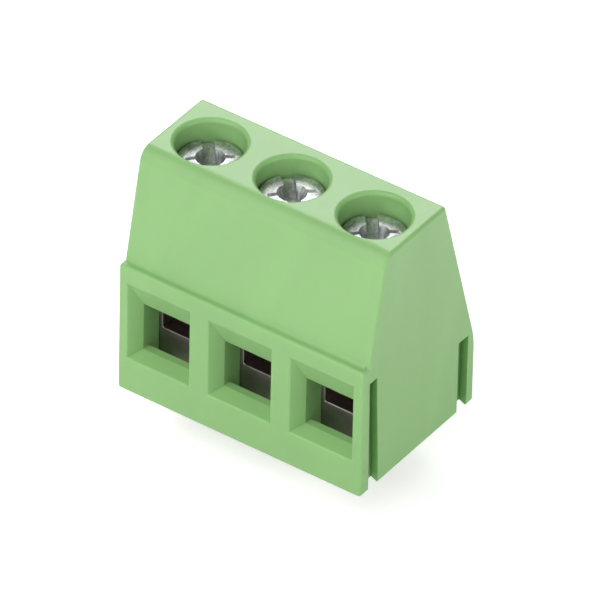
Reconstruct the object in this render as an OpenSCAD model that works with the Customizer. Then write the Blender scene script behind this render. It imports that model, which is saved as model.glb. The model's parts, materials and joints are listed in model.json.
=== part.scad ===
// Three-pole screw terminal for a printed circuit board, side wire entry,
// rising clamp cages, riveted solder pins and dovetailed ends.
// Millimetres. +X runs along the row of poles, -Y is the wire side, +Z is up.
// The origin is on the middle solder pin's axis, in the plane of the board.

/* [Row of poles] */
// Distance from one pole to the next
pitch = 5.08; // [5:0.01:6.5]
// How much shorter the housing is than its whole number of pitches
row_play = 0.04; // [0:0.02:0.3]

/* [Housing outline] */
// Height of the top face above the board
housing_h = 14.3; // [14.1:0.1:17]
// Depth from the wire side to the rear face
housing_d = 10.1; // [9.9:0.05:12]
// Height of the upright flange that holds the wire mouths
flange_h = 8; // [7.5:0.1:9]
// Depth of the ledge on top of the flange
ledge_d = 0.52; // [0.3:0.02:0.8]
// Distance of the top face's front edge from the wire side
top_front = 1.76; // [1.2:0.02:1.9]
// Depth of the top face
top_d = 5.3; // [5:0.05:6]
// Height of the upright part of the rear wall
rear_h = 4.1; // [3.9:0.05:6]
// Radius along the top face's front edge
brow_r = 0.85; // [0.3:0.05:1]
// Radius along the other long edges
edge_r = 0.22; // [0.1:0.01:0.3]
// Radius around the two end faces
end_r = 0.2; // [0.1:0.01:0.25]
// Radius where the front slope meets the ledge
ledge_r = 0.28; // [0.1:0.01:0.3]
// Radius of the soft bend in the rear wall
rear_bend_r = 5; // [1:0.5:8]

/* [Wire mouths] */
// Width of a mouth at the wire side
mouth_w = 3.94; // [3.4:0.02:4.1]
// Height of a mouth's lower edge above the board
mouth_low = 2.17; // [1.8:0.01:2.4]
// Height of a mouth's upper edge above the board
mouth_high = 7; // [6:0.05:7.3]
// Depth of the tapered part
mouth_d = 0.84; // [0.5:0.02:1]
// Radius around a mouth's rim
lip_r = 0.12; // [0.05:0.01:0.2]
// Width of the throat behind the taper
throat_w = 3; // [2.7:0.05:3.2]
// Height of the throat's floor above the board
throat_low = 2.47; // [2.41:0.01:2.7]
// Height of the throat
throat_h = 2.9; // [2.8:0.05:3.3]
// Depth of the throat's level floor
throat_floor = 0.43; // [0.2:0.01:0.5]

/* [Screw wells] */
// Distance of the screw axes from the wire side
screw_from_front = 4.36; // [4.3:0.01:4.6]
// Diameter of a well
well_d = 3.7; // [3.6:0.05:4]
// Radius of a well's rim
rim_r = 0.24; // [0.05:0.01:0.3]
// Thickness of the web that a screw's neck passes through
web_t = 0.55; // [0.4:0.05:0.9]

/* [Screws] */
// Thread diameter
thread_d = 2.5; // [2.3:0.05:2.6]
// Thread lead for one turn
thread_lead = 0.45; // [0.3:0.05:0.45]
// Turns from fully open to fully closed
screw_turns = 5; // [3:0.5:5]
// Diameter of a screw's head
head_d = 3.45; // [3.2:0.05:3.6]
// Height of a head's side, below its crown
head_h = 1.6; // [1.3:0.05:1.7]
// Rise of a head's crown
crown_h = 0.16; // [0.05:0.01:0.3]
// Width of the driver slot
slot_w = 0.65; // [0.4:0.05:0.9]
// Depth of the driver slot in its middle, below the crown
slot_depth = 0.85; // [0.6:0.05:1]
// Depth of the driver slot at the head's edge, below the crown
slot_end_depth = 0.45; // [0.3:0.05:0.6]
// Width of the cross recess's wings
wing_w = 0.25; // [0.15:0.05:0.5]
// Reach of the cross recess's wings from the axis
wing_r = 1.35; // [1:0.05:1.5]
// Radius of the cross recess's cone where it meets the crown
cone_r = 0.8; // [0.5:0.05:1]
// Depth of the cross recess
cross_depth = 1.25; // [1:0.05:1.4]
// Way that the first screw's slot points
slot_turn_1 = 131; // [0:1:180]
// Way that the second screw's slot points
slot_turn_2 = 135; // [0:1:180]
// Way that the third screw's slot points
slot_turn_3 = 131; // [0:1:180]
// How far the first screw is backed off the bar it stands on
back_off_1 = 0.14; // [0.02:0.01:0.3]
// How far the second screw is backed off
back_off_2 = 0.22; // [0.02:0.01:0.3]
// How far the third screw is backed off
back_off_3 = 0.04; // [0.02:0.01:0.3]

/* [Clamp cages] */
// Width of a cage
cage_w = 3.7; // [3.5:0.05:3.9]
// Depth of a cage
cage_d = 4.2; // [3.9:0.05:4.4]
// Thickness of a cage's two uprights
upright_t = 0.55; // [0.45:0.01:0.6]
// Height of the saddle that lifts the wire
saddle_h = 1.7; // [1.3:0.05:1.7]
// Height of the threaded collar
collar_h = 2.2; // [1.8:0.05:2.3]
// Radius of a cage's outer corners
cage_r = 0.35; // [0.1:0.05:0.5]
// Depth of the gripping grooves across the saddle
grip_depth = 0.14; // [0.05:0.01:0.2]

/* [Contacts] */
// Thickness of the contact strip
strip_t = 0.8; // [0.6:0.05:0.85]
// Width of the contact strip
strip_w = 2.5; // [2:0.05:2.55]
// Inside radius of the strip's bends
bend_r = 0.3; // [0.2:0.05:0.4]
// Bare throat left in front of the contact bar
bar_setback = 0.18; // [0.05:0.01:0.4]
// Length of the foot under the cage, from the leg's rear face
foot_l = 4.4; // [3.2:0.05:4.6]

/* [Solder pins] */
// Diameter of a pin
pin_d = 1; // [0.9:0.05:1.2]
// Length of a pin below the board's top face
pin_l = 2.6; // [2.2:0.05:3.6]
// Distance of the pin row from the wire side
pin_from_front = 6; // [5.4:0.05:6.2]
// Diameter of the shoulder between the board and the contact's foot
shoulder_d = 1.4; // [1.2:0.05:1.8]
// Diameter of the pin's riveted neck
rivet_d = 0.8; // [0.6:0.05:0.85]
// Depth of the rivet's countersunk head
rivet_head_h = 0.25; // [0.1:0.05:0.4]
// Length of the pin's tapered tip
tip_l = 0.3; // [0.1:0.05:0.5]

/* [Dovetails] */
// Width of a groove at its mouth, at the foot
dove_mouth = 0.86; // [0.7:0.02:0.9]
// Width of a groove at its root, at the foot
dove_root = 1.34; // [1:0.02:1.38]
// Depth of a groove
dove_depth = 0.6; // [0.46:0.02:0.62]
// How far a rib stands proud of its end face
rib_proud = 0.4; // [0.3:0.01:0.42]
// Distance of the front groove's middle from the wire side, at the foot
dove_front = 1.18; // [1.12:0.02:1.3]
// Height of the front groove
dove_front_h = 7; // [5:0.05:7.2]
// How far the front groove leans towards the wire side at its head
dove_lean = 0.22; // [0:0.01:0.24]
// How much narrower the front groove is at its head
dove_taper = 0.2; // [0:0.01:0.3]
// Distance of the rear groove's middle from the rear face
dove_rear = 1.09; // [1:0.01:1.2]
// Height of the rear groove
dove_rear_h = 4.6; // [3:0.05:5]

/* [Clearances] */
// Side play of a cage in its chamber
cage_play = 0.05; // [0.03:0.01:0.1]
// Radial play of a screw in its cage and in its web
screw_play = 0.05; // [0.02:0.01:0.08]
// Play between the contact bar and the cage around it
bar_play = 0.1; // [0.05:0.01:0.15]
// Gap left between saddle and bar when fully closed
closed_gap = 0.05; // [0.05:0.01:0.2]
// Gap under the head of a screw that stands on its bar
head_gap = 0.06; // [0.05:0.01:0.15]
// Play of a rib in a groove
rib_play = 0.1; // [0.05:0.01:0.12]

/* [Hidden] */

pole_count = 3;
slot_turns = [slot_turn_1, slot_turn_2, slot_turn_3];
back_offs = [back_off_1, back_off_2, back_off_3];
row_l = pole_count * pitch - row_play;
eps = 0.01;
round_fn = 64;
arc_steps = 6;

// Heights, from the board up
throat_high = throat_low + throat_h;
bar_low = throat_high;
bar_high = bar_low + strip_t;
lift = screw_turns * thread_lead;
saddle_high = bar_low - closed_gap - lift;
cage_low = saddle_high - saddle_h;
foot_low = cage_low - strip_t;
collar_low = bar_high + bar_play;
cage_high = collar_low + collar_h;
chamber_high = cage_high + lift + bar_play;
web_high = chamber_high + web_t;
head_low = web_high + head_gap;
head_edge = head_low + head_h;

// Depths, from the wire side
top_rear = top_front + top_d;
throat_end = mouth_d + throat_floor;
cage_front = screw_from_front - cage_d / 2;
cage_rear = screw_from_front + cage_d / 2;
chamber_front = cage_front - cage_play;
chamber_rear = cage_rear + cage_play;
leg_front = chamber_rear + bend_r;
leg_rear = leg_front + strip_t;
bar_front = throat_end + bar_setback;

// Widths
chamber_w = cage_w + 2 * cage_play;
window_w = cage_w - 2 * upright_t;

function pole_x(i) = (i - (pole_count - 1) / 2) * pitch;

// Points of an arc of radius r that rounds the corner b between a and c
function round_corner(a, b, c, r, n = arc_steps) =
    let(
        u = (a - b) / norm(a - b),
        v = (c - b) / norm(c - b),
        half = acos(u * v) / 2,
        centre = b + (u + v) / norm(u + v) * r / sin(half),
        p = b + u * r / tan(half) - centre,
        turn = (u[0] * v[1] - u[1] * v[0] > 0 ? 1 : -1) * (180 - 2 * half)
    )
    [for (k = [0:n])
        let(t = -turn * k / n)
        centre + [p[0] * cos(t) - p[1] * sin(t), p[0] * sin(t) + p[1] * cos(t)]];

// Outline through the points, each rounded by its own radius
function rounded(points, radii) =
    let(n = len(points))
    [for (i = [0:n - 1])
        each radii[i] > 0
            ? round_corner(points[(i + n - 1) % n], points[i], points[(i + 1) % n], radii[i])
            : [points[i]]];

// Lays an outline drawn in (depth, height) across the row, w wide about x
module across(w, x = 0) {
    translate([x - w / 2, 0, 0])
        rotate([90, 0, 90])
            linear_extrude(w)
                children();
}

// Lays an outline drawn in (x, height) from depth y0 to y1
module along(y0, y1) {
    translate([0, y1, 0])
        rotate([90, 0, 0])
            linear_extrude(y1 - y0)
                children();
}

module block(x, w, y0, y1, z0, z1) {
    translate([x - w / 2, y0, z0])
        cube([w, y1 - y0, z1 - z0]);
}

// Everything is drawn from the wire side; this moves it onto the pin row
module from_pin_row() {
    translate([0, -pin_from_front, 0])
        children();
}

// ---------------------------------------------------------------- housing

// Convex block laid across the row, with rounded edges around its end faces
module end_rounded(outline) {
    hull()
        for (k = [0:arc_steps])
            let(t = 90 * k / arc_steps)
            across(row_l - 2 * end_r * (1 - cos(t)))
                offset(delta = -end_r * (1 - sin(t)))
                    polygon(outline);
}

module housing_shell() {
    flange_rear = ledge_d + 2 * edge_r + 2 * end_r;
    end_rounded(rounded(
        [[ledge_d, 0], [ledge_d, flange_h], [top_front, housing_h],
         [top_rear, housing_h], [housing_d, rear_h], [housing_d, 0]],
        [0, 0, brow_r, edge_r, rear_bend_r, edge_r]
    ));
    end_rounded(rounded(
        [[0, 0], [0, flange_h], [flange_rear, flange_h], [flange_rear, 0]],
        [edge_r, edge_r, 0, 0]
    ));
    ledge_fillet();
}

// Hollow rounding where the front slope rises from the ledge
module ledge_fillet() {
    foot = [ledge_d, flange_h];
    arc = round_corner([0, flange_h], foot, [top_front, housing_h], ledge_r);
    across(row_l - 2 * end_r)
        polygon(concat(arc, [for (way = [[1, 1], [1, -1], [-1, -1]]) foot + ledge_r * way]));
}

// How far a dovetail's flank has spread at depth d
function flare(d) = (dove_root - dove_mouth) / 2 * d / dove_depth;

// Dovetailed groove in the right end face, centred at depth y at its foot
module dovetail_groove(y, h, lean = 0, taper = 0) {
    hull()
        for (k = [0, 1])
            let(half = (dove_mouth - k * taper) / 2)
            translate([row_l / 2, y - k * lean, k * h - eps])
                linear_extrude(eps)
                    polygon([
                        [eps, -half - flare(-eps)], [-dove_depth, -half - flare(dove_depth)],
                        [-dove_depth, half + flare(dove_depth)], [eps, half + flare(-eps)]
                    ]);
}

// Rib on the left end face, hooked to one side so that a pair holds the
// next block's grooves as one wide dovetail
module dovetail_rib(y, h, hook, lean = 0, taper = 0) {
    hull()
        for (k = [0, 1])
            let(half = (dove_mouth - k * taper) / 2 - rib_play)
            translate([-row_l / 2, y - k * lean, k * (h - rib_play - eps)])
                linear_extrude(eps)
                    polygon([
                        [end_r, -hook * half], [-rib_proud, -hook * half],
                        [-rib_proud, hook * (half + flare(rib_proud))],
                        [end_r, hook * (half + flare(-end_r))]
                    ]);
}

// One side of a tapered mouth in (height or width, depth) order: from the
// throat at depth mouth_d out to the rounded lip at the wire side
function mouth_side(throat, rim, outward) =
    let(lip = round_corner([throat, mouth_d], [rim, 0], [rim + outward * mouth_w, 0], lip_r))
    concat([[throat, mouth_d]], lip, [lip[arc_steps] - [0, eps]]);

function reversed(points) = [for (k = [len(points) - 1:-1:0]) points[k]];

// Tapered mouth: two crossing wedges, one narrowing in height, one in width
module wire_mouth(x) {
    intersection() {
        across(mouth_w * 2, x)
            polygon([for (p = concat(mouth_side(throat_low, mouth_low, -1),
                                     reversed(mouth_side(throat_high, mouth_high, 1))))
                [p[1], p[0]]]);
        translate([x, 0, 0])
            linear_extrude(housing_h)
                polygon(concat(mouth_side(-throat_w / 2, -mouth_w / 2, -1),
                               reversed(mouth_side(throat_w / 2, mouth_w / 2, 1))));
    }
}

// Room behind the mouth: throat, nose slot, cage chamber and contact slot
module pole_chamber(x) {
    block(x, throat_w, mouth_d - eps, chamber_front + eps, throat_low, throat_high);
    block(x, throat_w, throat_end, chamber_front + eps, -eps, bar_high + bar_play);
    block(x, chamber_w, chamber_front, chamber_rear, -eps, chamber_high);
    block(x, strip_w, chamber_rear - eps, leg_rear, -eps, bar_high);
}

module screw_well(x) {
    translate([x, screw_from_front, 0]) {
        translate([0, 0, chamber_high - eps])
            cylinder(d = thread_d + 2 * screw_play, h = web_t + 2 * eps, $fn = round_fn);
        translate([0, 0, web_high])
            cylinder(d = well_d, h = housing_h - web_high + eps, $fn = round_fn);
        rotate_extrude($fn = round_fn)
            difference() {
                translate([well_d / 2 - eps, housing_h - rim_r])
                    square([rim_r + eps, rim_r + eps]);
                translate([well_d / 2 + rim_r, housing_h - rim_r])
                    circle(r = rim_r, $fn = round_fn);
            }
    }
}

module housing() {
    color([0.62, 0.80, 0.56])
        from_pin_row()
            difference() {
                union() {
                    housing_shell();
                    dovetail_rib(dove_front, dove_front_h, 1, dove_lean, dove_taper);
                    dovetail_rib(housing_d - dove_rear, dove_rear_h, -1);
                }
                dovetail_groove(dove_front, dove_front_h, dove_lean, dove_taper);
                dovetail_groove(housing_d - dove_rear, dove_rear_h);
                for (i = [0:pole_count - 1]) {
                    wire_mouth(pole_x(i));
                    pole_chamber(pole_x(i));
                    screw_well(pole_x(i));
                }
            }
}

// ----------------------------------------------------------------- screws

// Driver recess: a slot over the whole head that is deeper in its middle, a
// cone in the middle and two narrow wings across the slot
module driver_recess() {
    top = head_edge + crown_h;
    translate([0, 0, top])
        rotate([90, 0, 0])
            linear_extrude(slot_w, center = true)
                polygon([
                    [-head_d, eps], [-head_d, -slot_end_depth], [-head_d / 2, -slot_end_depth],
                    [-cone_r, -slot_depth], [cone_r, -slot_depth],
                    [head_d / 2, -slot_end_depth], [head_d, -slot_end_depth], [head_d, eps]
                ]);
    translate([0, 0, top - cross_depth])
        cylinder(r1 = wing_w, r2 = cone_r, h = cross_depth + eps, $fn = round_fn);
    translate([0, 0, top])
        rotate([90, 0, 90])
            linear_extrude(wing_w, center = true)
                polygon([
                    [-wing_r, eps], [-cone_r, -cross_depth / 2],
                    [cone_r, -cross_depth / 2], [wing_r, eps]
                ]);
}

// Screw that stands with its tip on the contact bar
module standing_screw() {
    crown_r = (pow(head_d / 2, 2) + pow(crown_h, 2)) / (2 * crown_h);
    tip_chamfer = thread_lead / 2;
    difference() {
        union() {
            translate([0, 0, bar_high])
                cylinder(d1 = thread_d - 2 * tip_chamfer, d2 = thread_d, h = tip_chamfer,
                         $fn = round_fn);
            translate([0, 0, bar_high + tip_chamfer])
                cylinder(d = thread_d, h = head_low + eps - bar_high - tip_chamfer, $fn = round_fn);
            intersection() {
                translate([0, 0, head_low])
                    cylinder(d = head_d, h = head_h + crown_h, $fn = round_fn);
                translate([0, 0, head_edge + crown_h - crown_r])
                    sphere(r = crown_r, $fn = round_fn);
            }
        }
        driver_recess();
    }
}

module screw(i) {
    color([0.80, 0.80, 0.82])
        from_pin_row()
            translate([pole_x(i), screw_from_front, back_offs[i]])
                rotate([0, 0, slot_turns[i]])
                    standing_screw();
}

// ------------------------------------------------------------ clamp cages

module clamp_cage(i) {
    frame = rounded(
        [[-cage_w / 2, cage_low], [-cage_w / 2, cage_high],
         [cage_w / 2, cage_high], [cage_w / 2, cage_low]],
        [cage_r, cage_r, cage_r, cage_r]
    );
    color([0.66, 0.65, 0.62])
        from_pin_row()
            translate([pole_x(i), 0, 0])
                difference() {
                    along(cage_front, cage_rear)
                        difference() {
                            polygon(frame);
                            translate([-window_w / 2, saddle_high])
                                square([window_w, collar_low - saddle_high]);
                        }
                    translate([0, screw_from_front, collar_low - eps])
                        cylinder(d = thread_d + 2 * screw_play, h = collar_h + 2 * eps,
                                 $fn = round_fn);
                    for (k = [-1:1])
                        translate([0, screw_from_front + k * cage_d / 4, saddle_high])
                            rotate([45, 0, 0])
                                cube([window_w, grip_depth * sqrt(2), grip_depth * sqrt(2)],
                                     center = true);
                }
}

// --------------------------------------------------------------- contacts

// One strip bent twice: the bar through the cage, the leg behind it and the
// foot under it, in which the pin is riveted
module contact(i) {
    out_r = bend_r + strip_t;
    outline = rounded(
        [[bar_front, bar_low], [bar_front, bar_high], [leg_rear, bar_high],
         [leg_rear, foot_low], [leg_rear - foot_l, foot_low], [leg_rear - foot_l, cage_low],
         [leg_front, cage_low], [leg_front, bar_low]],
        [0, 0, out_r, out_r, 0, 0, bend_r, bend_r]
    );
    color([0.85, 0.78, 0.60])
        from_pin_row()
            difference() {
                across(strip_w, pole_x(i))
                    polygon(outline);
                translate([pole_x(i), pin_from_front, foot_low])
                    rivet();
            }
}

// ------------------------------------------------------------ solder pins

// Neck and countersunk head that fill the hole in the contact's foot
module rivet() {
    translate([0, 0, -eps])
        cylinder(d = rivet_d, h = strip_t + eps, $fn = round_fn);
    translate([0, 0, strip_t - rivet_head_h])
        cylinder(d1 = rivet_d, d2 = rivet_d + 2 * rivet_head_h, h = rivet_head_h, $fn = round_fn);
}

module solder_pin(i) {
    color([0.82, 0.82, 0.80])
        from_pin_row()
            translate([pole_x(i), pin_from_front, 0]) {
                translate([0, 0, foot_low])
                    rivet();
                cylinder(d = shoulder_d, h = foot_low, $fn = round_fn);
                translate([0, 0, tip_l - pin_l])
                    cylinder(d = pin_d, h = pin_l - tip_l + eps, $fn = round_fn);
                translate([0, 0, -pin_l])
                    cylinder(d1 = pin_d * 0.5, d2 = pin_d, h = tip_l, $fn = round_fn);
            }
}

housing();
screw(0);  // screw_1
screw(1);  // screw_2
screw(2);  // screw_3
clamp_cage(0);  // clamp_cage_1
clamp_cage(1);  // clamp_cage_2
clamp_cage(2);  // clamp_cage_3
contact(0);  // contact_1
contact(1);  // contact_2
contact(2);  // contact_3
solder_pin(0);  // solder_pin_1
solder_pin(1);  // solder_pin_2
solder_pin(2);  // solder_pin_3
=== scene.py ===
# Dress of a three-pole screw terminal for a printed circuit board: moulded
# housing, slotted screws, rising clamp cages, contact strips and solder pins.
# Metres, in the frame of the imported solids. +X runs along the row of poles,
# -Y is the wire side and +Z points up out of the board.
import json
import math

import bpy
from mathutils import Matrix, Vector


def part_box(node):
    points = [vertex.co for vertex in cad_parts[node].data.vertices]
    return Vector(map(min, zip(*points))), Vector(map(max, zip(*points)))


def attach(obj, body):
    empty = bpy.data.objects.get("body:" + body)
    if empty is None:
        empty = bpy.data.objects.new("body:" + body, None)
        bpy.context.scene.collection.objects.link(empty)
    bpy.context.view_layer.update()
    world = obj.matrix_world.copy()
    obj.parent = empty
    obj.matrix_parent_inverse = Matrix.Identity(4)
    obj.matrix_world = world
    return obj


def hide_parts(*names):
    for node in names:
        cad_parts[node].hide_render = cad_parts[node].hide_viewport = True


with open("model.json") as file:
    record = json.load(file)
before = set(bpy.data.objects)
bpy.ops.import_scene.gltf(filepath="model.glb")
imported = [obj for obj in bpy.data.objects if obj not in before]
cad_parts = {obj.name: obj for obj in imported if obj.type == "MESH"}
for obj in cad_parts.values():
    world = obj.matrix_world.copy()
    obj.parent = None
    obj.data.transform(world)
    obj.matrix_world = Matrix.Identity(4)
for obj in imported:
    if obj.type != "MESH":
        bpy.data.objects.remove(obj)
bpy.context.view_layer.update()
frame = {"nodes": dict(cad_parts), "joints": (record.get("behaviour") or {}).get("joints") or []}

bl_info = {
    "name": "Screw Terminal",
    "version": (1, 0, 0),
    "blender": (4, 5, 0),
    "location": "3D View > Sidebar > Terminal",
    "description": "Dresses the solids of a three-pole screw terminal",
    "category": "Object",
}

MM = 0.001
POLES = (1, 2, 3)

# Corners that turn by more than these degrees are rounded
MOULDED_CORNER = 50
STAMPED_CORNER = 40
TURNED_CORNER = 38
# Faces that meet at less than these degrees are shaded as one surface. The
# mouths' walls lean 29 degrees to their throats and have to stay apart.
HOUSING_SHADING = 18
METAL_SHADING = 32
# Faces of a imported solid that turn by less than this, in degrees, are one face
FLAT_TURN = 0.4
# Points closer than these are one point
NODE_SEAM = 2e-7
RIDGE_SEAM = 1e-7
# Cutting tools stand this far out of what they cut
OVERCUT = 0.01 * MM
# Room between a raised cage and the screw's plain neck
NECK_PLAY = 0.08 * MM

FLOOR_RADIUS = 0.6
# The floor lies this far below the pins' tips
FLOOR_GAP = 0.01 * MM
# Reflections see the floor's glow grow between these distances from the middle. The glow is left
# out near the middle as painted shade, standing in for the part's shadow on the floor.
RING_START, RING_FULL = 12 * MM, 36 * MM
# Side and place of each square lamp
LAMPS = {
    "key": (0.60, (-0.05, -0.38, 0.33)),
    "back": (0.22, (-0.225, 0.325, 0.307)),
    "fill": (0.26, (0.48, -0.04, 0.14)),
}
LAMP_AIM = Vector((0, -0.001, 0.007))
CAMERA_AIM = Vector((0, -1.3 * MM, 6.9 * MM))
SENSOR_WIDTH = 36


def node_centre(node):
    """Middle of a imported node's box."""
    low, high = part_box(node)
    return (low + high) / 2


# The heights of the solids that the new pieces have to meet
BAR_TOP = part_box("contact_1")[1].z
FOOT_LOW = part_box("contact_1")[0].z
FOOT_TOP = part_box("solder_pin_1")[1].z
CAGE_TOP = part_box("clamp_cage_1")[1].z
CAGE_LIFT = next(j["range_m"][1] for j in frame["joints"] if j["name"] == "cage_1_lift")
PIN_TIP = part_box("solder_pin_1")[0].z


# ---------------------------------------------------------------- settings

def length(name, value, note):
    """Length setting, its default given in millimetres."""
    return bpy.props.FloatProperty(
        name=name, description=note, default=value * MM, min=0, precision=5,
        subtype="DISTANCE", unit="LENGTH")


def colour(name, value, note):
    """Colour setting, its default given as red, green and blue."""
    return bpy.props.FloatVectorProperty(
        name=name, description=note, default=value, size=3, min=0, max=1,
        subtype="COLOR")


def angle(name, degrees, note):
    """Angle setting, its default given in degrees."""
    return bpy.props.FloatProperty(
        name=name, description=note, default=math.radians(degrees),
        subtype="ANGLE", unit="ROTATION")


def power(name, watts, note):
    """Power of a lamp."""
    return bpy.props.FloatProperty(
        name=name, description=note, default=watts, min=0, unit="POWER")


def factor(name, value, note, low=0, high=1):
    """Plain number between two limits."""
    return bpy.props.FloatProperty(
        name=name, description=note, default=value, min=low, max=high)


class HousingSettings(bpy.types.PropertyGroup):
    """Look of the moulded housing"""
    plastic: colour("Plastic", (0.268, 0.495, 0.190), "Colour of the moulded plastic")
    sheen: factor("Roughness", 0.36, "Roughness of the moulded skin")
    grain: length("Grain", 0.0022, "Depth of the moulded grain")
    edge: length("Edge", 0.03, "Rounding of the edges that the mould leaves sharp")


class ScrewSettings(bpy.types.PropertyGroup):
    """Sizes and colour of the clamp screws"""
    steel: colour("Plating", (0.66, 0.66, 0.68), "Colour of the zinc plating")
    thread_d: length("Thread diameter", 2.5, "Diameter over the thread's crests")
    thread_depth: length("Thread depth", 0.23, "Depth of the thread")
    lead: length("Lead", 0.45, "Rise of the thread in one turn")
    head_d: length("Head diameter", 3.45, "Diameter of the head")
    head_h: length("Head height", 1.6, "Height of the head's side")
    crown: length("Crown", 0.16, "Rise of the head's crown")
    rim: length("Rim", 0.1, "Rounding of the head's rim")
    slot_w: length("Slot width", 0.65, "Width of the driver slot")
    slot_depth: length("Slot depth", 0.85, "Depth of the driver slot in its middle")
    slot_end: length("Slot end depth", 0.45, "Depth of the driver slot at the head's edge")
    wing_w: length("Wing width", 0.25, "Width of the cross recess's wings")
    wing_r: length("Wing reach", 1.35, "Reach of the cross recess's wings")
    cone_r: length("Cone radius", 0.8, "Radius of the cross recess's cone at the crown")
    cross_depth: length("Cross depth", 1.25, "Depth of the cross recess")
    turn_1: angle("Turn 1", 131, "Way that the first screw's slot points")
    turn_2: angle("Turn 2", 135, "Way that the second screw's slot points")
    turn_3: angle("Turn 3", 131, "Way that the third screw's slot points")


class CageSettings(bpy.types.PropertyGroup):
    """Look of the clamp cages"""
    # Darker and redder than bare nickel: partly the plating's own colour, partly painted shade of
    # the deep wire mouths that the cages sit in
    plating: colour("Plating", (0.42, 0.36, 0.37), "Colour of the cage's plating")
    edge: length("Edge", 0.045, "Rounding of the cage's edges")


class ContactSettings(bpy.types.PropertyGroup):
    """Look of the contact strips"""
    strip: colour("Strip", (0.75, 0.58, 0.42), "Colour of the contact strip")
    edge: length("Edge", 0.035, "Rounding of the strip's edges")


class PinSettings(bpy.types.PropertyGroup):
    """Sizes and colour of the solder pins"""
    tin: colour("Tin", (0.70, 0.70, 0.68), "Colour of the tin plating")
    pin_d: length("Pin diameter", 1.0, "Diameter of a pin")
    tip_l: length("Tip", 0.3, "Length of a pin's tapered tip")
    shoulder_d: length("Shoulder", 1.4, "Diameter of a pin's shoulder")
    neck_d: length("Neck", 0.8, "Diameter of a pin's riveted neck")
    head_h: length("Rivet head", 0.25, "Depth of the rivet's countersunk head")


class StageSettings(bpy.types.PropertyGroup):
    """Camera, floor and light"""
    azimuth: angle("Azimuth", 34.644, "Way round the object, from the wire side")
    elevation: angle("Elevation", 37.9, "Height of the view above the horizon")
    roll: angle("Roll", 1.32, "Turn of the camera about its own line of sight")
    distance: length("Distance", 609.66, "Camera to the object's middle")
    lens: factor("Lens", 720, "Focal length in millimetres", 1, 2000)
    shift_x: factor("Shift X", 0.0106, "Sideways shift of the lens", -1)
    shift_y: factor("Shift Y", -0.0160, "Upward shift of the lens", -1)
    floor: colour("Floor", (0.88, 0.88, 0.88), "Colour of the floor")
    floor_glow: factor("Floor glow", 0.5, "White that the camera sees on the floor")
    # this glow fades out towards the part's middle as painted shade of the part's shadow on the
    # floor
    ring_glow: factor("Ring glow", 0.9, "White that reflections see round the part", 0, 5)
    sky: factor("Sky", 0.15, "Level of the light from all round")
    key_power: power("Key lamp", 2.80, "Power of the large lamp over the wire side")
    back_power: power("Back lamp", 1.15, "Power of the lamp behind the left end")
    fill_power: power("Fill lamp", 0.90, "Power of the lamp beside the right end")


# ------------------------------------------------------------ shared steps

def nothing_selected():
    """Goes back to object mode and deselects everything."""
    if bpy.context.mode != "OBJECT":
        bpy.ops.object.mode_set(mode="OBJECT")
    bpy.ops.object.select_all(action="DESELECT")


def only(piece):
    """Leaves one object selected and active, in object mode."""
    nothing_selected()
    piece.select_set(True)
    bpy.context.view_layer.objects.active = piece
    return piece


def join(piece, other):
    """Takes another object's mesh into a piece."""
    only(piece)
    other.select_set(True)
    bpy.ops.object.join()


def apply_modifier(piece, kind, **values):
    """Adds one modifier to a piece, sets it and applies it."""
    only(piece)
    modifier = piece.modifiers.new(kind.title(), kind)
    for key, value in values.items():
        setattr(modifier, key, value)
    bpy.ops.object.modifier_apply(modifier=modifier.name)


def outward_faces():
    """Turns all faces of the mesh in edit mode outwards and leaves edit mode."""
    bpy.ops.mesh.select_all(action="SELECT")
    bpy.ops.mesh.normals_make_consistent(inside=False)
    bpy.ops.object.mode_set(mode="OBJECT")


def merged_copy(node, name):
    """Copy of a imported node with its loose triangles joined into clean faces."""
    source = frame["nodes"][node]
    piece = source.copy()
    piece.data = source.data.copy()
    piece.name = piece.data.name = name
    piece.parent = None
    for key in list(piece.keys()):
        del piece[key]
    bpy.context.scene.collection.objects.link(piece)
    only(piece)
    bpy.ops.object.mode_set(mode="EDIT")
    bpy.ops.mesh.select_all(action="SELECT")
    bpy.ops.mesh.remove_doubles(threshold=NODE_SEAM)
    bpy.ops.mesh.dissolve_limited(angle_limit=math.radians(FLAT_TURN))
    bpy.ops.object.mode_set(mode="OBJECT")
    if piece.data.has_custom_normals:
        bpy.ops.mesh.customdata_custom_splitnormals_clear()
    return piece


def turned(name, rings, centre=(0, 0), sides=96):
    """Closed body turned on an upright axis through (radius, height) rings."""
    nothing_selected()
    x, y = centre
    radius, height = rings[0]
    bpy.ops.mesh.primitive_circle_add(
        vertices=sides, radius=radius, fill_type="NGON", location=(x, y, height))
    piece = bpy.context.object
    piece.name = piece.data.name = name
    bpy.ops.object.transform_apply(location=True)
    bpy.ops.object.mode_set(mode="EDIT")
    bpy.ops.mesh.select_mode(type="FACE")
    bpy.ops.mesh.select_all(action="SELECT")
    for next_radius, next_height in rings[1:]:
        bpy.ops.mesh.extrude_region_move(
            TRANSFORM_OT_translate={"value": (0, 0, next_height - height)})
        scale = next_radius / radius
        bpy.ops.transform.resize(value=(scale, scale, 1), center_override=(x, y, next_height))
        radius, height = next_radius, next_height
    outward_faces()
    return piece


def arc_rings(centre_r, centre_z, radius, start, end, steps):
    """Rings along an arc; the angles are in degrees, 0 outwards and 90 up."""
    rings = []
    for k in range(steps + 1):
        a = math.radians(start + (end - start) * k / steps)
        rings.append((centre_r + radius * math.cos(a), centre_z + radius * math.sin(a)))
    return rings


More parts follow.
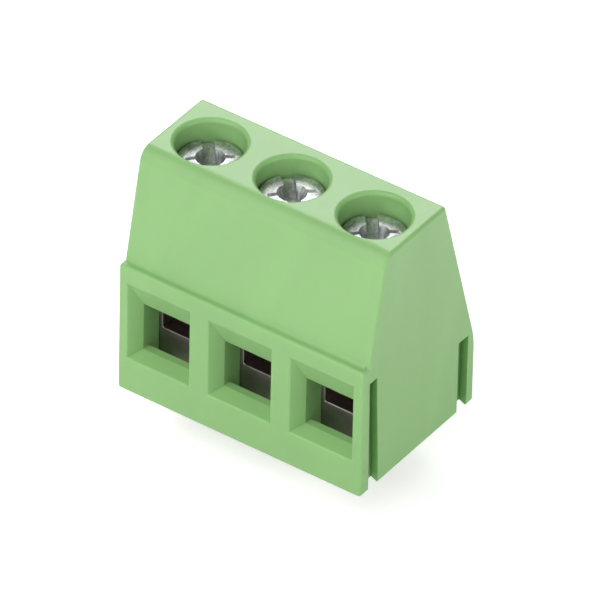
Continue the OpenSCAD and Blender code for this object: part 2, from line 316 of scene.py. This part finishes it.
def prism(name, outline, width):
    """Bar across an outline of (x, height) points, centred on the world's axis."""
    nothing_selected()
    bpy.ops.mesh.primitive_circle_add(vertices=len(outline), radius=MM, fill_type="NGON")
    piece = bpy.context.object
    piece.name = piece.data.name = name
    for vertex, (x, z) in zip(piece.data.vertices, outline):
        vertex.co = (x, -width / 2, z)
    bpy.ops.object.mode_set(mode="EDIT")
    bpy.ops.mesh.select_all(action="SELECT")
    bpy.ops.mesh.extrude_region_move(TRANSFORM_OT_translate={"value": (0, width, 0)})
    outward_faces()
    return piece


def cut(piece, tool, operation="DIFFERENCE"):
    """Cuts a piece with another, or trims it to that one, which is used up."""
    apply_modifier(piece, "BOOLEAN", operation=operation, solver="EXACT", object=tool,
                   use_self=True)
    bpy.data.objects.remove(tool)


def soften(piece, width, corner, clamped=True):
    """Rounds every edge that turns by more than the corner's angle, in degrees.
    Unclamped, one tiny edge somewhere doesn't hold back all the others."""
    apply_modifier(piece, "BEVEL", width=width, segments=2, limit_method="ANGLE",
                   angle_limit=math.radians(corner), use_clamp_overlap=clamped,
                   miter_outer="MITER_ARC" if clamped else "MITER_SHARP")


def smooth(piece, limit=METAL_SHADING):
    """Shades the roundings softly and keeps the flat faces flat."""
    only(piece)
    bpy.ops.object.shade_smooth_by_angle(angle=math.radians(limit))
    apply_modifier(piece, "WEIGHTED_NORMAL", weight=100, keep_sharp=True)


def helix(name, radius, tooth, lead, low, high):
    """Ridge with a pointed section that climbs round the world's axis."""
    nothing_selected()
    steps = 40
    sunk = 0.03 * MM  # how far the tooth's feet stand inside the core
    half_foot = 0.46 * lead
    turns = math.ceil((high - low) / lead)
    bpy.ops.mesh.primitive_circle_add(vertices=3, radius=lead * 0.5, fill_type="NOTHING")
    piece = bpy.context.object
    piece.name = piece.data.name = name
    corners = [(radius + tooth, 0.0), (radius - sunk, half_foot), (radius - sunk, -half_foot)]
    for vertex, (r, z) in zip(piece.data.vertices, corners):
        vertex.co = (r, 0, z)
    apply_modifier(piece, "SCREW", axis="Z", screw_offset=lead, angle=2 * math.pi,
                   steps=steps, render_steps=steps, iterations=turns,
                   use_merge_vertices=False, use_normal_calculate=True)
    # close both ends
    bpy.ops.object.mode_set(mode="EDIT")
    bpy.ops.mesh.select_all(action="SELECT")
    bpy.ops.mesh.remove_doubles(threshold=RIDGE_SEAM)
    bpy.ops.mesh.select_all(action="DESELECT")
    bpy.ops.mesh.select_mode(type="EDGE")
    bpy.ops.mesh.select_non_manifold()
    bpy.ops.mesh.fill_holes(sides=3)
    outward_faces()
    piece.data.transform(Matrix.Translation((0, 0, low)))
    return piece


def finish_piece(piece, material, body, slot, *nodes):
    """Gives a piece its finish and its body, and lets it stand for its solids."""
    piece.data.materials.clear()
    piece.data.materials.append(material)
    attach(piece, body)
    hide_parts(*nodes)


# --------------------------------------------------------------- materials

def new_material(name):
    """Material with its node tree and its main shader."""
    material = bpy.data.materials.new(name)
    material.use_nodes = True
    tree = material.node_tree
    shader = next(n for n in tree.nodes if n.type == "BSDF_PRINCIPLED")
    return material, tree, shader


def object_noise(tree, scale, detail=2.0, stretch=(1, 1, 1), distortion=0.0):
    """Noise over the piece's own space; scale in waves per metre."""
    place = tree.nodes.new("ShaderNodeTexCoord")
    turn = tree.nodes.new("ShaderNodeMapping")
    turn.inputs["Scale"].default_value = stretch
    noise = tree.nodes.new("ShaderNodeTexNoise")
    noise.inputs["Scale"].default_value = scale
    noise.inputs["Detail"].default_value = detail
    noise.inputs["Distortion"].default_value = distortion
    tree.links.new(place.outputs["Object"], turn.inputs["Vector"])
    tree.links.new(turn.outputs["Vector"], noise.inputs["Vector"])
    return noise.outputs["Fac"]


def spread(tree, value, low, high, start=0, end=1):
    """Maps a pattern that runs from start to end onto the range low to high."""
    node = tree.nodes.new("ShaderNodeMapRange")
    node.inputs["From Min"].default_value = start
    node.inputs["From Max"].default_value = end
    node.inputs["To Min"].default_value = low
    node.inputs["To Max"].default_value = high
    tree.links.new(value, node.inputs["Value"])
    return node.outputs["Result"]


def combined(tree, operation, a, b):
    """Adds or multiplies two patterns."""
    node = tree.nodes.new("ShaderNodeMath")
    node.operation = operation
    tree.links.new(a, node.inputs[0])
    tree.links.new(b, node.inputs[1])
    return node.outputs[0]


def shades(tree, value, dark, light, dark_end=0.3, light_start=0.7):
    """Blends two colours by a 0 to 1 pattern."""
    node = tree.nodes.new("ShaderNodeValToRGB")
    first, last = node.color_ramp.elements
    first.position, first.color = dark_end, (*dark, 1)
    last.position, last.color = light_start, (*light, 1)
    tree.links.new(value, node.inputs["Fac"])
    return node.outputs["Color"]


def bump(tree, value, depth):
    """Relief of a given depth, in metres, from a 0 to 1 pattern."""
    node = tree.nodes.new("ShaderNodeBump")
    node.inputs["Strength"].default_value = 1
    node.inputs["Distance"].default_value = depth
    tree.links.new(value, node.inputs["Height"])
    return node.outputs["Normal"]


def tinted(base, k):
    """Colour made k times as bright, up to full."""
    return tuple(min(1.0, c * k) for c in base)


def moulded_plastic(base, roughness, grain):
    """Satin plastic with a fine moulded grain and faint flow marks."""
    material, tree, shader = new_material("moulded_plastic")
    flow = object_noise(tree, scale=260, detail=3, stretch=(1, 1, 0.4), distortion=1.2)
    fine = object_noise(tree, scale=14000, detail=2)
    tree.links.new(shades(tree, flow, tinted(base, 0.965), tinted(base, 1.03)),
                   shader.inputs["Base Color"])
    tree.links.new(spread(tree, fine, roughness - 0.05, roughness + 0.05),
                   shader.inputs["Roughness"])
    tree.links.new(bump(tree, fine, grain), shader.inputs["Normal"])
    shader.inputs["IOR"].default_value = 1.5
    shader.inputs["Specular IOR Level"].default_value = 0.38
    # light goes a little way into the plastic, and green the furthest
    shader.inputs["Subsurface Weight"].default_value = 0.2
    shader.inputs["Subsurface Radius"].default_value = (0.3, 1.0, 0.2)
    shader.inputs["Subsurface Scale"].default_value = 0.8 * MM
    return material


def plated_metal(name, base, roughness, marks, stretch, mark_scale, contrast=0.15):
    """Plated metal with fine tool marks drawn out along one way."""
    material, tree, shader = new_material(name)
    cloud = object_noise(tree, scale=900, detail=3)
    lines = object_noise(tree, scale=mark_scale, detail=3, stretch=stretch)
    streaks = combined(tree, "MULTIPLY", cloud, spread(tree, lines, 0.4, 1.6))
    dark, light = tinted(base, 1 - contrast), tinted(base, 1 + contrast / 2)
    tree.links.new(shades(tree, streaks, dark, light), shader.inputs["Base Color"])
    tree.links.new(spread(tree, lines, roughness - 0.08, roughness + 0.10),
                   shader.inputs["Roughness"])
    tree.links.new(bump(tree, lines, marks), shader.inputs["Normal"])
    shader.inputs["Metallic"].default_value = 1
    return material


# ------------------------------------------------------------------ pieces

class TERMINAL_OT_housing(bpy.types.Operator):
    """Dresses the moulded housing"""
    bl_idname = "terminal.housing"
    bl_label = "Housing"

    def execute(self, context):
        values = context.scene.terminal_housing
        piece = merged_copy("housing", "moulded_housing")
        soften(piece, values.edge, MOULDED_CORNER)
        smooth(piece, HOUSING_SHADING)
        finish_piece(piece, moulded_plastic(values.plastic, values.sheen, values.grain),
                     "block", "moulded_plastic", "housing")
        return {"FINISHED"}


class TERMINAL_OT_screws(bpy.types.Operator):
    """Turns the three clamp screws with their threads and driver recesses"""
    bl_idname = "terminal.screws"
    bl_label = "Screws"

    def execute(self, context):
        values = context.scene.terminal_screws
        plating = plated_metal("screw_steel", values.steel, roughness=0.50, marks=0.035 * MM,
                               stretch=(1, 1, 0.15), mark_scale=7000, contrast=0.5)
        first = self.model_screw(values)
        for n in POLES:
            self.place_screw(values, first, n, plating)
        bpy.data.objects.remove(first)
        return {"FINISHED"}

    def model_screw(self, values):
        """One screw on the world's axis, its tip on the contact bar."""
        head_r, shank_r = values.head_d / 2, values.thread_d / 2
        core_r = shank_r - values.thread_depth
        tip_chamfer = values.lead / 2
        lap = 0.02 * MM  # how far the shank and the head reach into each other
        top = self.crown_top(values) - values.crown
        head_low = top - values.head_h
        neck_low = CAGE_TOP + CAGE_LIFT + NECK_PLAY
        # threaded shank, longer than needed and trimmed to a blank with a chamfered tip
        shank = turned("screw", [(core_r, BAR_TOP - MM), (core_r, neck_low + 0.1 * MM)], sides=64)
        join(shank, helix("ridge", core_r, values.thread_depth, values.lead,
                          BAR_TOP - values.lead, neck_low))
        blank = turned("blank", [
            (shank_r - tip_chamfer, BAR_TOP), (shank_r, BAR_TOP + tip_chamfer),
            (shank_r, neck_low), (core_r - lap, neck_low + 0.3 * MM)], sides=64)
        cut(shank, blank, "INTERSECT")
        # neck, head with a chamfered underside and a rolled rim, and crown
        head_chamfer = 0.1 * MM
        rim_r = values.rim
        edge = head_r - rim_r
        rings = [(shank_r, neck_low - lap), (shank_r, head_low),
                 (head_r - head_chamfer, head_low), (head_r, head_low + head_chamfer),
                 (head_r, top - rim_r)]
        rings += arc_rings(edge, top - rim_r, rim_r, start=15, end=75, steps=4)
        crown_steps = 9
        for k in range(1, crown_steps):
            r = edge * (1 - k / crown_steps)
            rings.append((r, top + values.crown - self.crown_fall(values, r)))
        head = turned("head", rings)
        self.cut_recess(values, head, top + values.crown)
        soften(head, 0.035 * MM, TURNED_CORNER)
        join(head, shank)
        head.name = head.data.name = "screw_model"
        return head

    def cut_recess(self, values, head, top):
        """Slot, cone and two narrow wings, cut down from the crown's tip."""
        over = top + OVERCUT
        far, edge = values.head_d, values.head_d / 2
        shallow, deep = top - values.slot_end, top - values.slot_depth
        cut(head, prism("slot", [
            (-far, over), (-far, shallow), (-edge, shallow), (-values.cone_r, deep),
            (values.cone_r, deep), (edge, shallow), (far, shallow), (far, over)], values.slot_w))
        cut(head, turned("cone", [(values.wing_w, top - values.cross_depth),
                                  (values.cone_r, over)], sides=48))
        floor = top - values.cross_depth / 2
        wings = prism("wings", [
            (-values.wing_r, over), (-values.cone_r, floor),
            (values.cone_r, floor), (values.wing_r, over)], values.wing_w)
        wings.data.transform(Matrix.Rotation(math.pi / 2, 4, "Z"))
        cut(head, wings)

    def crown_fall(self, values, r):
        """How far the crown has fallen from its tip at a distance from the axis."""
        ball_r = ((values.head_d / 2) ** 2 + values.crown ** 2) / (2 * values.crown)
        return ball_r - math.sqrt(ball_r ** 2 - r ** 2)

    def crown_top(self, values):
        """Top of the whole crown, whose tip the cone takes away, on a screw
        that stands on its bar."""
        low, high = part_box("screw_1")
        return high.z - (low.z - BAR_TOP) + self.crown_fall(values, values.cone_r)

    def place_screw(self, values, model, n, plating):
        """Copies the screw to its pole, at its own height and turn."""
        piece = model.copy()
        piece.data = model.data.copy()
        piece.name = piece.data.name = f"clamp_screw_{n}"
        bpy.context.scene.collection.objects.link(piece)
        middle = node_centre(f"screw_{n}")
        back_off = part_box(f"screw_{n}")[0].z - BAR_TOP
        turn = getattr(values, f"turn_{n}")
        piece.data.transform(Matrix.Translation((middle.x, middle.y, back_off))
                             @ Matrix.Rotation(turn, 4, "Z"))
        smooth(piece)
        finish_piece(piece, plating, f"screw_{n}", "screw_steel", f"screw_{n}")


class TERMINAL_OT_cages(bpy.types.Operator):
    """Forms the three clamp cages with rounded edges"""
    bl_idname = "terminal.cages"
    bl_label = "Clamp cages"

    def execute(self, context):
        values = context.scene.terminal_cages
        # the cage plating carries painted shade of the wire mouths along with its own colour
        plating = plated_metal("cage_plating", values.plating, roughness=0.36,
                               marks=0.002 * MM, stretch=(1, 1, 5), mark_scale=5000)
        for n in POLES:
            piece = merged_copy(f"clamp_cage_{n}", f"rising_cage_{n}")
            soften(piece, values.edge, STAMPED_CORNER, clamped=False)
            smooth(piece)
            finish_piece(piece, plating, f"cage_{n}", "cage_plating", f"clamp_cage_{n}")
        return {"FINISHED"}


class TERMINAL_OT_contacts(bpy.types.Operator):
    """Copies the three contact strips and rounds their edges"""
    bl_idname = "terminal.contacts"
    bl_label = "Contacts"

    def execute(self, context):
        values = context.scene.terminal_contacts
        strip = plated_metal("contact_strip", values.strip, roughness=0.45,
                             marks=0.0015 * MM, stretch=(8, 1, 1), mark_scale=4000)
        for n in POLES:
            piece = merged_copy(f"contact_{n}", f"contact_strip_{n}")
            soften(piece, values.edge, STAMPED_CORNER, clamped=False)
            smooth(piece)
            finish_piece(piece, strip, "block", "contact_strip", f"contact_{n}")
        return {"FINISHED"}


class TERMINAL_OT_pins(bpy.types.Operator):
    """Turns the three solder pins"""
    bl_idname = "terminal.pins"
    bl_label = "Solder pins"

    def execute(self, context):
        values = context.scene.terminal_pins
        tin = plated_metal("tinned_pin", values.tin, roughness=0.34, marks=0.0015 * MM,
                           stretch=(1, 1, 0.2), mark_scale=7000)
        for n in POLES:
            middle = node_centre(f"solder_pin_{n}")
            piece = turned(f"riveted_pin_{n}", self.pin_rings(values), (middle.x, middle.y), 64)
            smooth(piece)
            finish_piece(piece, tin, "block", "tinned_pin", f"solder_pin_{n}")
        return {"FINISHED"}

    def pin_rings(self, values):
        """Outline of a pin, from its tip up to the rivet's head."""
        r, neck, shoulder = values.pin_d / 2, values.neck_d / 2, values.shoulder_d / 2
        blunt, rounded, tapered = r * 0.34, r * 0.5, r * 0.93
        taper_top = PIN_TIP + values.tip_l
        chamfer = 0.05 * MM
        return [
            (blunt, PIN_TIP), (rounded, PIN_TIP + 0.04 * MM),
            (tapered, taper_top - 0.06 * MM), (r, taper_top + 0.05 * MM),
            # shoulder, between the plane of the board and the contact's foot
            (r, 0), (shoulder - chamfer, 0), (shoulder, chamfer), (shoulder, FOOT_LOW),
            # neck through the foot, spread into its countersink
            (neck, FOOT_LOW), (neck, FOOT_TOP - values.head_h),
            (neck + values.head_h, FOOT_TOP), (neck * 0.5, FOOT_TOP)]


class TERMINAL_OT_stage(bpy.types.Operator):
    """Sets the floor, the lamps and the camera"""
    bl_idname = "terminal.stage"
    bl_label = "Stage"

    def execute(self, context):
        values = context.scene.terminal_stage
        self.lay_floor(values)
        self.hang_lamps(context, values)
        self.aim_camera(context, values)
        context.scene.view_settings.view_transform = "Standard"
        return {"FINISHED"}

    def lay_floor(self, values):
        """Lays a white floor just under the pins' tips."""
        nothing_selected()
        bpy.ops.mesh.primitive_circle_add(
            vertices=64, radius=FLOOR_RADIUS, fill_type="NGON",
            location=(0, 0, PIN_TIP - FLOOR_GAP))
        floor = bpy.context.object
        floor.name = "floor"
        material, tree, shader = new_material("floor_paper")
        shader.inputs["Base Color"].default_value = (*values.floor, 1)
        shader.inputs["Roughness"].default_value = 0.9
        shader.inputs["Specular IOR Level"].default_value = 0.1
        seen = tree.nodes.new("ShaderNodeLightPath")
        place = tree.nodes.new("ShaderNodeTexCoord")
        reach = tree.nodes.new("ShaderNodeVectorMath")
        reach.operation = "LENGTH"
        tree.links.new(place.outputs["Object"], reach.inputs[0])
        # reflections see the glow only outside the part's own footprint, so the middle stays dark
        # as painted shade of the part's shadow on the floor
        ring = spread(tree, reach.outputs["Value"], 0, values.ring_glow, RING_START, RING_FULL)
        mirrored = combined(tree, "MULTIPLY", seen.outputs["Is Glossy Ray"], ring)
        direct = spread(tree, seen.outputs["Is Camera Ray"], 0, values.floor_glow)
        tree.links.new(combined(tree, "ADD", mirrored, direct),
                       shader.inputs["Emission Strength"])
        shader.inputs["Emission Color"].default_value = (1, 1, 1, 1)
        floor.data.materials.append(material)

    def hang_lamps(self, context, values):
        """Lights all round, white to the camera, and the three square lamps."""
        world = bpy.data.worlds.new("studio")
        context.scene.world = world
        world.use_nodes = True
        tree = world.node_tree
        background = tree.nodes["Background"]
        seen = tree.nodes.new("ShaderNodeLightPath")
        tree.links.new(spread(tree, seen.outputs["Is Camera Ray"], values.sky, 1),
                       background.inputs["Strength"])
        background.inputs["Color"].default_value = (1, 1, 1, 1)
        for name, (size, place) in LAMPS.items():
            lamp = bpy.data.lights.new(name, "AREA")
            lamp.energy = getattr(values, f"{name}_power")
            lamp.size = size
            holder = bpy.data.objects.new(name, lamp)
            holder.location = place
            aim = LAMP_AIM - Vector(place)
            holder.rotation_euler = aim.to_track_quat("-Z", "Y").to_euler()
            context.scene.collection.objects.link(holder)

    def aim_camera(self, context, values):
        """Stands the camera off from its aim and rolls it about its line of sight."""
        camera = bpy.data.cameras.new("camera")
        camera.lens, camera.sensor_width = values.lens, SENSOR_WIDTH
        camera.shift_x, camera.shift_y = values.shift_x, values.shift_y
        camera.clip_start, camera.clip_end = 0.01, 10
        holder = bpy.data.objects.new("camera", camera)
        context.scene.collection.objects.link(holder)
        az, el, roll = values.azimuth, values.elevation, values.roll
        ahead = Vector((-math.sin(az) * math.cos(el), math.cos(az) * math.cos(el), -math.sin(el)))
        right = Vector((math.cos(az), math.sin(az), 0))
        up = right.cross(ahead)
        across = math.cos(roll) * right + math.sin(roll) * up
        upward = -math.sin(roll) * right + math.cos(roll) * up
        place = CAMERA_AIM - ahead * values.distance
        turn = Matrix((across, upward, -ahead)).transposed()
        holder.matrix_world = Matrix.Translation(place) @ turn.to_4x4()
        context.scene.camera = holder


class VIEW3D_PT_terminal(bpy.types.Panel):
    """Lists the pieces and the stage with their settings"""
    bl_label = "Screw Terminal"
    bl_idname = "VIEW3D_PT_terminal"
    bl_space_type = "VIEW_3D"
    bl_region_type = "UI"
    bl_category = "Terminal"

    def draw(self, context):
        for settings, operator in PANEL_ROWS:
            box = self.layout.box()
            box.operator(operator)
            group = getattr(context.scene, settings)
            for name in group.bl_rna.properties.keys():
                if name not in ("rna_type", "name"):
                    box.prop(group, name)


SETTINGS = {
    "terminal_housing": HousingSettings,
    "terminal_screws": ScrewSettings,
    "terminal_cages": CageSettings,
    "terminal_contacts": ContactSettings,
    "terminal_pins": PinSettings,
    "terminal_stage": StageSettings,
}
OPERATORS = (TERMINAL_OT_housing, TERMINAL_OT_screws, TERMINAL_OT_cages,
             TERMINAL_OT_contacts, TERMINAL_OT_pins, TERMINAL_OT_stage)
PANEL_ROWS = tuple(zip(SETTINGS, (o.bl_idname for o in OPERATORS)))
CLASSES = (*SETTINGS.values(), *OPERATORS, VIEW3D_PT_terminal)


def register():
    """Registers the classes and hangs the settings on the scene."""
    for cls in CLASSES:
        bpy.utils.register_class(cls)
    for name, cls in SETTINGS.items():
        setattr(bpy.types.Scene, name, bpy.props.PointerProperty(type=cls))


def unregister():
    """Takes the settings and the classes away again."""
    for name in SETTINGS:
        delattr(bpy.types.Scene, name)
    for cls in reversed(CLASSES):
        bpy.utils.unregister_class(cls)


def main():
    """Makes every piece and the stage, in order."""
    register()
    bpy.ops.terminal.housing()
    bpy.ops.terminal.screws()
    bpy.ops.terminal.cages()
    bpy.ops.terminal.contacts()
    bpy.ops.terminal.pins()
    bpy.ops.terminal.stage()


if __name__ == "__main__":
    main()
